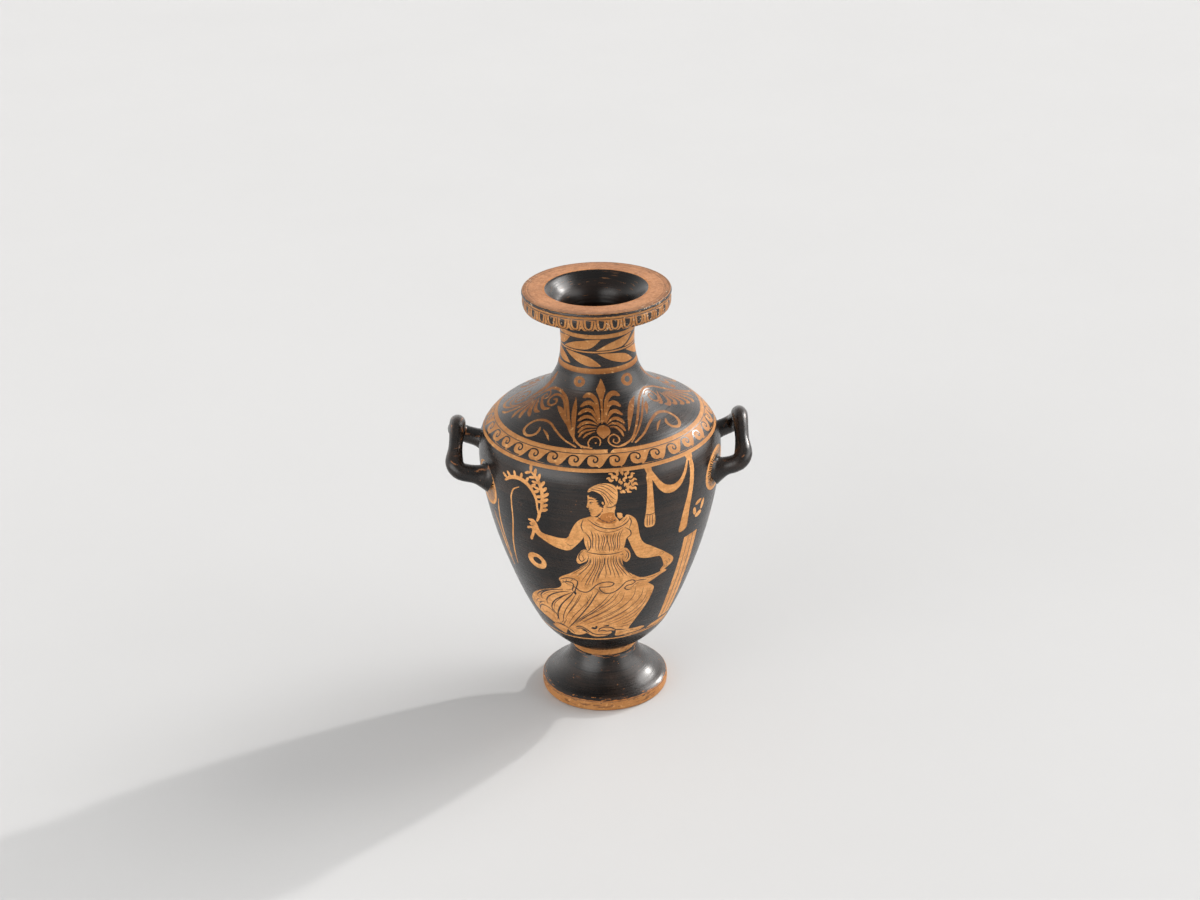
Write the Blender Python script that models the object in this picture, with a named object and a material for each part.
"""Hydria: a wheel-thrown water jar with two side handles, a back handle and a wide flat rim.

Metres, +Z up. The origin is the centre of the foot's resting ring, and the front is towards -Y.
The jar, its foot and its three handles were joined wet and fired together, so they are one solid.
"""

import math

import bmesh
import bpy
from mathutils import Matrix, Vector

# Foot and collar
FOOT_RADIUS = 0.0591
FOOT_EDGE_HEIGHT = 0.0104
FOOT_HEIGHT = 0.0438
FOOT_REST_WIDTH = 0.0085
FOOT_EDGE_ROUNDING = 0.0016
FOOT_WALL = 0.0095
STEM_RADIUS = 0.0298
COLLAR_RADIUS = 0.0312
COLLAR_HEIGHT = 0.0077
COLLAR_ROUNDING = 0.0006

# Body
BODY_HEIGHT = 0.2735
BELLY_RADIUS = 0.1100
WALL = 0.0055
FLOOR_THICKNESS = 0.0085

# Neck, rim and mouth
NECK_HEIGHT = 0.0585
NECK_RADIUS = 0.0329
NECK_TOP_RADIUS = 0.0352
RIM_RADIUS = 0.0663
RIM_HEIGHT = 0.0165
LIP_HEIGHT = 0.0046
LIP_GROOVE = 0.0013
RIM_ROUNDING = 0.0018
MOUTH_RADIUS = 0.0459
THROAT_DEPTH = 0.0260

# Side handles: two arms, and an arched bar that rises from one arm's end to the other's
SIDE_ROOT_SPREAD = 0.0770
SIDE_ELBOW_SPREAD = 0.0850
RIGHT_ELBOW_CLEARANCE = 0.0175
LEFT_ELBOW_CLEARANCE = 0.0220
SIDE_ELBOW_RISE = 0.0085
SIDE_CREST_RISE = 0.0397
RIGHT_CREST_LEAN = 0.0004
LEFT_CREST_LEAN = 0.0046
SIDE_ELBOW_BEND = 0.0098
SIDE_CREST_BEND = 0.0220
SIDE_BAR_RADIUS = 0.0063
SIDE_CREST_RADIUS = 0.0074
SIDE_ELBOW_RADIUS = 0.0080
SIDE_ARM_RADIUS = 0.0084
SIDE_ROOT_RADIUS = 0.0120
SIDE_ROOT_STRETCH = 1.18
SIDE_TURN = math.radians(1.4)

# Back handle: an upright strap from the shoulder to the neck
BACK_REACH = 0.0840
BACK_HALF_WIDTH = 0.0115
BACK_HALF_THICKNESS = 0.0058
BACK_ROOT_FLARE = 1.35
BACK_TOP_DROP = 0.0170

# How deep a handle's ends sit in the wall
ROOT_DEPTH = 0.0030

# The body's outline, as shares of its height above its base and of the belly's radius
BODY_OUTLINE = (
    (0.000, 0.312),
    (0.031, 0.409),
    (0.086, 0.534),
    (0.159, 0.632),
    (0.250, 0.729),
    (0.415, 0.870),
    (0.580, 0.9655),
    (0.7185, 1.000),
    (0.7916, 0.967),
    (0.8464, 0.857),
    (0.8976, 0.623),
    (0.949, 0.4236),
    (1.000, 0.342),
)
SIDE_ROOT_SHARE = 0.682
BACK_ROOT_SHARE = 0.870

# Smoothness of the faceted solid: how far a facet may lie from the true curve
ROUND_SEGMENTS = 56
HANDLE_SIDES = 12
BACK_HANDLE_STEPS = 3
CURVE_STEPS = 8
OUTSIDE_TOLERANCE = 0.00036
INSIDE_TOLERANCE = 0.0020

BODY_BASE = FOOT_HEIGHT + COLLAR_HEIGHT
NECK_BASE = BODY_BASE + BODY_HEIGHT
RIM_BASE = NECK_BASE + NECK_HEIGHT
TOTAL_HEIGHT = RIM_BASE + RIM_HEIGHT

GLAZE_COLOUR = (0.022, 0.019, 0.018, 1.0)
GLAZE_ROUGHNESS = 0.32


def clear_scene():
    """Removes every object, so that the script runs the same from any file."""
    for old in list(bpy.data.objects):
        bpy.data.objects.remove(old)


def black_gloss():
    """The fired black slip that covers most of the jar."""
    material = bpy.data.materials.new("black_gloss")
    material.use_nodes = True
    shader = material.node_tree.nodes["Principled BSDF"]
    shader.inputs["Base Color"].default_value = GLAZE_COLOUR
    shader.inputs["Roughness"].default_value = GLAZE_ROUGHNESS
    shader.inputs["Metallic"].default_value = 0.0
    return material


def smooth_through(points, steps):
    """Points on a centripetal Catmull-Rom curve through the given ones, steps to each span."""
    points = [Vector(point) for point in points]
    ends = [2 * points[0] - points[1], *points, 2 * points[-1] - points[-2]]
    curve = []
    for before, start, end, after in zip(ends, ends[1:], ends[2:], ends[3:]):
        t1 = (start - before).length ** 0.5
        t2 = t1 + (end - start).length ** 0.5
        t3 = t2 + (after - end).length ** 0.5
        for step in range(steps):
            t = t1 + (t2 - t1) * step / steps
            first = before.lerp(start, t / t1)
            middle = start.lerp(end, (t - t1) / (t2 - t1))
            last = end.lerp(after, (t - t2) / (t3 - t2))
            near = first.lerp(middle, t / t2)
            far = middle.lerp(last, (t - t1) / (t3 - t1))
            curve.append(near.lerp(far, (t - t1) / (t2 - t1)))
    curve.append(points[-1])
    return curve


def thinned(points, tolerance):
    """The points that a polyline needs to stay within tolerance of all of them."""
    if len(points) < 3:
        return points
    start, end = points[0], points[-1]
    run = (end - start).normalized()
    away = [abs(run.cross(point - start)) for point in points]
    furthest = max(range(len(points)), key=away.__getitem__)
    if away[furthest] <= tolerance:
        return [start, end]
    before = thinned(points[: furthest + 1], tolerance)
    return before[:-1] + thinned(points[furthest:], tolerance)


def inward(points, depth):
    """The (radius, height) points moved to the left of their run by depth."""
    moved = []
    for index, point in enumerate(points):
        before = points[max(index - 1, 0)]
        after = points[min(index + 1, len(points) - 1)]
        run = (after - before).normalized()
        moved.append(point + Vector((-run.y, run.x)) * depth)
    return moved


def foot_top():
    """The foot's upper face, from its edge in to the stem: a low cushion, then a hollow curve."""
    run = FOOT_RADIUS - STEM_RADIUS
    rise = FOOT_HEIGHT - FOOT_EDGE_HEIGHT
    shares = ((0.0, 0.0), (0.09, 0.07), (0.30, 0.17), (0.55, 0.33), (0.80, 0.60), (1.0, 1.0))
    return [(FOOT_RADIUS - run * inwards, FOOT_EDGE_HEIGHT + rise * up) for inwards, up in shares]


def foot_outline():
    """The foot's edge and upper face, from the resting ring to the collar, as (radius, height)."""
    rounding = FOOT_EDGE_ROUNDING
    edge = [
        (FOOT_RADIUS - rounding, 0.0),
        (FOOT_RADIUS - rounding / 4, rounding / 2),
        (FOOT_RADIUS + rounding / 4, FOOT_EDGE_HEIGHT / 2),
    ]
    top = thinned(smooth_through(foot_top(), CURVE_STEPS), OUTSIDE_TOLERANCE)
    return [Vector(point) for point in edge] + top


def foot_hollow():
    """The hollow under the foot, from its top on the axis down to the resting ring."""
    ring = FOOT_RADIUS - FOOT_EDGE_ROUNDING - FOOT_REST_WIDTH
    crown_height = FOOT_HEIGHT - FOOT_WALL / 2
    crown_radius = STEM_RADIUS - FOOT_WALL
    crown = Vector((crown_radius * 0.6, crown_height - crown_radius * 0.12))
    sides = [
        Vector((crown_radius, crown_height - crown_radius * 0.45)),
        Vector((crown_radius + (ring - crown_radius) * 0.22, crown_height * 0.48)),
        Vector((crown_radius + (ring - crown_radius) * 0.62, crown_height * 0.20)),
    ]
    return [Vector((0.0, crown_height)), crown, *sides, Vector((ring, 0.0))]


def collar_outline():
    """The rounded collar between the foot and the body."""
    return [
        Vector((COLLAR_RADIUS - COLLAR_ROUNDING, FOOT_HEIGHT + COLLAR_HEIGHT * 0.05)),
        Vector((COLLAR_RADIUS, FOOT_HEIGHT + COLLAR_HEIGHT * 0.45)),
        Vector((COLLAR_RADIUS - COLLAR_ROUNDING * 0.7, FOOT_HEIGHT + COLLAR_HEIGHT * 0.95)),
    ]


def body_points():
    """The driving points of the body and neck, from the body's base to the rim, as (radius, height)."""
    body = [(BELLY_RADIUS * wide, BODY_BASE + BODY_HEIGHT * up) for up, wide in BODY_OUTLINE]
    neck = [
        (NECK_RADIUS * 1.05, NECK_BASE + NECK_HEIGHT * 0.19),
        (NECK_RADIUS, NECK_BASE + NECK_HEIGHT * 0.43),
        (NECK_RADIUS * 1.02, NECK_BASE + NECK_HEIGHT * 0.68),
        (NECK_TOP_RADIUS, NECK_BASE + NECK_HEIGHT * 0.92),
    ]
    return body, neck


def wall_outline():
    """The outside of the body and neck, up to just under the rim."""
    body, neck = body_points()
    return smooth_through(body + neck, CURVE_STEPS)


def rim_outline():
    """The rim, from its underside at the neck round its moulded edge to the mouth."""
    underside = [
        (NECK_TOP_RADIUS * 1.12, RIM_BASE - RIM_HEIGHT * 0.10),
        (RIM_RADIUS - RIM_ROUNDING * 2, RIM_BASE),
    ]
    band_top = TOTAL_HEIGHT - LIP_HEIGHT
    band_height = band_top - RIM_BASE
    band = [
        (RIM_RADIUS - RIM_ROUNDING * 0.9, RIM_BASE + band_height * 0.08),
        (RIM_RADIUS - RIM_ROUNDING * 0.2, RIM_BASE + band_height * 0.45),
        (RIM_RADIUS - RIM_ROUNDING * 0.4, RIM_BASE + band_height * 0.85),
        (RIM_RADIUS - LIP_GROOVE, band_top),
    ]
    lip = [
        (RIM_RADIUS - RIM_ROUNDING * 0.15, band_top + LIP_HEIGHT * 0.25),
        (RIM_RADIUS, band_top + LIP_HEIGHT * 0.60),
        (RIM_RADIUS - RIM_ROUNDING * 0.5, TOTAL_HEIGHT),
    ]
    return [Vector(point) for point in underside + band + lip]


def mouth_outline():
    """The trumpet mouth, from the flat rim down to the throat."""
    throat = NECK_RADIUS - WALL
    flare = MOUTH_RADIUS - throat
    funnel = [
        (MOUTH_RADIUS, TOTAL_HEIGHT),
        (MOUTH_RADIUS - flare * 0.22, TOTAL_HEIGHT - THROAT_DEPTH * 0.12),
        (MOUTH_RADIUS - flare * 0.72, TOTAL_HEIGHT - THROAT_DEPTH * 0.48),
        (throat, TOTAL_HEIGHT - THROAT_DEPTH),
    ]
    return thinned(smooth_through(funnel, CURVE_STEPS), OUTSIDE_TOLERANCE)


def inside_outline():
    """The inside of the neck and body, from below the mouth down to the middle of the floor."""
    floor = BODY_BASE + FLOOR_THICKNESS
    wall = inward(wall_outline(), WALL)
    lowest = floor + WALL / 2
    highest = TOTAL_HEIGHT - THROAT_DEPTH * 1.3
    sides = [point for point in reversed(wall) if lowest < point.y < highest]
    sides = thinned(sides, INSIDE_TOLERANCE)
    return sides + [Vector((sides[-1].x * 0.62, floor + WALL / 4)), Vector((0.0, floor))]


def jar_outline():
    """The whole cross-section, from the top of the foot's hollow round to the middle of the floor."""
    return (
        foot_hollow()
        + foot_outline()
        + collar_outline()
        + thinned(wall_outline(), OUTSIDE_TOLERANCE)
        + rim_outline()
        + mouth_outline()
        + inside_outline()
    )


def revolve(name, outline):
    """A mesh turned about the Z axis from an outline that starts and ends on the axis."""
    mesh = bmesh.new()
    verts = [mesh.verts.new((point.x, 0.0, point.y)) for point in outline]
    edges = [mesh.edges.new(pair) for pair in zip(verts, verts[1:])]
    bmesh.ops.spin(
        mesh,
        geom=verts + edges,
        cent=(0.0, 0.0, 0.0),
        axis=(0.0, 0.0, 1.0),
        angle=2.0 * math.pi,
        steps=ROUND_SEGMENTS,
        use_merge=True,
    )
    bmesh.ops.remove_doubles(mesh, verts=mesh.verts, dist=1e-6)
    bmesh.ops.recalc_face_normals(mesh, faces=mesh.faces)
    return object_from(name, mesh)


def object_from(name, mesh):
    """An object that holds the bmesh, shaded smooth except at sharp edges."""
    data = bpy.data.meshes.new(name)
    mesh.to_mesh(data)
    mesh.free()
    data.shade_smooth()
    data.set_sharp_from_angle(angle=math.radians(40.0))
    made = bpy.data.objects.new(name, data)
    bpy.context.scene.collection.objects.link(made)
    return made


def sweep(name, stations, upright, steps):
    """A closed tube through stations of (centre, half width along upright, half thickness)."""
    stations = [(*centre, wide, thick) for centre, wide, thick in stations]
    smooth = smooth_through(stations, steps)
    centres = [Vector(station[:3]) for station in smooth]
    mesh = bmesh.new()
    rings = []
    for index, centre in enumerate(centres):
        wide, thick = smooth[index][3:]
        before = centres[max(index - 1, 0)]
        after = centres[min(index + 1, len(centres) - 1)]
        along = (after - before).normalized()
        across = along.cross(upright).normalized()
        up = across.cross(along).normalized()
        ring = []
        for side in range(HANDLE_SIDES):
            turn = 2.0 * math.pi * side / HANDLE_SIDES
            offset = up * wide * math.cos(turn) + across * thick * math.sin(turn)
            ring.append(mesh.verts.new(centre + offset))
        rings.append(ring)
    for ring, following in zip(rings, rings[1:]):
        for side in range(HANDLE_SIDES):
            after = (side + 1) % HANDLE_SIDES
            mesh.faces.new((ring[side], ring[after], following[after], following[side]))
    mesh.faces.new(rings[0])
    mesh.faces.new(rings[-1])
    bmesh.ops.recalc_face_normals(mesh, faces=mesh.faces)
    return object_from(name, mesh)


def outline_point(share):
    """The body's (radius, height) at a share of its height, between its driving points."""
    height = BODY_BASE + BODY_HEIGHT * share
    wall = wall_outline()
    for low, high in zip(wall, wall[1:]):
        if low.y <= height <= high.y:
            return low.lerp(high, (height - low.y) / (high.y - low.y))
    raise ValueError("the share is outside the body")


def rounded_corner(before, corner, after, radius, steps):
    """Points on the arc that rounds the corner between two straight runs."""
    into = (corner - before).normalized()
    out = (after - corner).normalized()
    turn = into.angle(out)
    inner = (out - into * into.dot(out)).normalized()
    start = corner - into * radius * math.tan(turn / 2)
    arc = []
    for step in range(steps + 1):
        angle = turn * step / steps
        arc.append(start + into * radius * math.sin(angle) + inner * radius * (1.0 - math.cos(angle)))
    return arc


def side_handle_stations(clearance, lean):
    """A right-hand handle's stations, from its front root over the arch to its back root."""
    root = outline_point(SIDE_ROOT_SHARE)
    half_spread = SIDE_ROOT_SPREAD / 2
    surface = math.sqrt(root.x**2 - half_spread**2)
    foot = Vector((surface, -half_spread, root.y))
    elbow = Vector((BELLY_RADIUS + clearance, -SIDE_ELBOW_SPREAD / 2, root.y + SIDE_ELBOW_RISE))
    peak = Vector((elbow.x - lean, 0.0, root.y + SIDE_CREST_RISE))
    back_elbow = Vector((elbow.x, -elbow.y, elbow.z))
    arm = elbow - foot
    wide_root = SIDE_ROOT_RADIUS * SIDE_ROOT_STRETCH
    elbow_arc = rounded_corner(foot, elbow, peak, SIDE_ELBOW_BEND, 4)
    crest_arc = rounded_corner(elbow, peak, back_elbow, SIDE_CREST_BEND, 4)
    front = [
        (foot - arm.normalized() * ROOT_DEPTH, wide_root, SIDE_ROOT_RADIUS),
        (foot + arm * 0.14, SIDE_ARM_RADIUS * 1.26, SIDE_ARM_RADIUS * 1.18),
        (foot + arm * 0.34, SIDE_ARM_RADIUS, SIDE_ARM_RADIUS),
        *[(place, SIDE_ELBOW_RADIUS, SIDE_ELBOW_RADIUS) for place in elbow_arc],
        (elbow_arc[-1].lerp(crest_arc[0], 0.5), SIDE_BAR_RADIUS, SIDE_BAR_RADIUS),
        (crest_arc[0], SIDE_BAR_RADIUS * 1.06, SIDE_BAR_RADIUS * 1.06),
        (crest_arc[1], SIDE_CREST_RADIUS * 0.96, SIDE_CREST_RADIUS * 0.96),
    ]
    back = [(Vector((place.x, -place.y, place.z)), wide, thick) for place, wide, thick in front]
    stations = front + [(crest_arc[2], SIDE_CREST_RADIUS, SIDE_CREST_RADIUS)] + back[::-1]
    turn = Matrix.Rotation(SIDE_TURN, 3, "Z")
    return [(turn @ place, wide, thick) for place, wide, thick in stations]


def turned_over(stations):
    """The same stations turned half-way round the Z axis, on the other side of the jar."""
    return [(Vector((-place.x, -place.y, place.z)), wide, thick) for place, wide, thick in stations]


def back_handle_stations():
    """The back handle's stations, from the shoulder up and over to the neck."""
    root = outline_point(BACK_ROOT_SHARE)
    top = RIM_BASE - BACK_TOP_DROP
    rise = top - root.y
    neck = NECK_RADIUS * 1.02
    wide, thick = BACK_HALF_WIDTH, BACK_HALF_THICKNESS
    flared = (wide * BACK_ROOT_FLARE, thick * BACK_ROOT_FLARE)
    lean = BACK_REACH - root.x
    span = BACK_REACH - neck
    return [
        (Vector((0.0, root.x, root.y - ROOT_DEPTH)), *flared),
        (Vector((0.0, root.x + lean * 0.25, root.y + rise * 0.13)), wide * 1.10, thick * 1.12),
        (Vector((0.0, BACK_REACH, root.y + rise * 0.42)), wide, thick),
        (Vector((0.0, BACK_REACH - span * 0.10, root.y + rise * 0.76)), wide, thick),
        (Vector((0.0, BACK_REACH - span * 0.40, top)), wide, thick),
        (Vector((0.0, neck + span * 0.22, top)), wide * 1.04, thick * 1.04),
        (Vector((0.0, neck - ROOT_DEPTH, top - thick * 0.3)), wide * 1.15, thick * 1.25),
    ]


def join(jar, handle):
    """Adds a handle to the jar's solid, and hides the handle's own object."""
    union = jar.modifiers.new(handle.name, "BOOLEAN")
    union.operation = "UNION"
    union.solver = "EXACT"
    union.object = handle
    handle.hide_render = True
    handle.display_type = "WIRE"


def build():
    """The hydria, as one solid."""
    clear_scene()
    jar = revolve("hydria", jar_outline())
    jar.data.materials.append(black_gloss())
    upright = Vector((0.0, 0.0, 1.0))
    right = side_handle_stations(RIGHT_ELBOW_CLEARANCE, RIGHT_CREST_LEAN)
    left = turned_over(side_handle_stations(LEFT_ELBOW_CLEARANCE, LEFT_CREST_LEAN))
    join(jar, sweep("right_handle", right, upright, 1))
    join(jar, sweep("left_handle", left, upright, 1))
    across = Vector((1.0, 0.0, 0.0))
    join(jar, sweep("back_handle", back_handle_stations(), across, BACK_HANDLE_STEPS))


build()
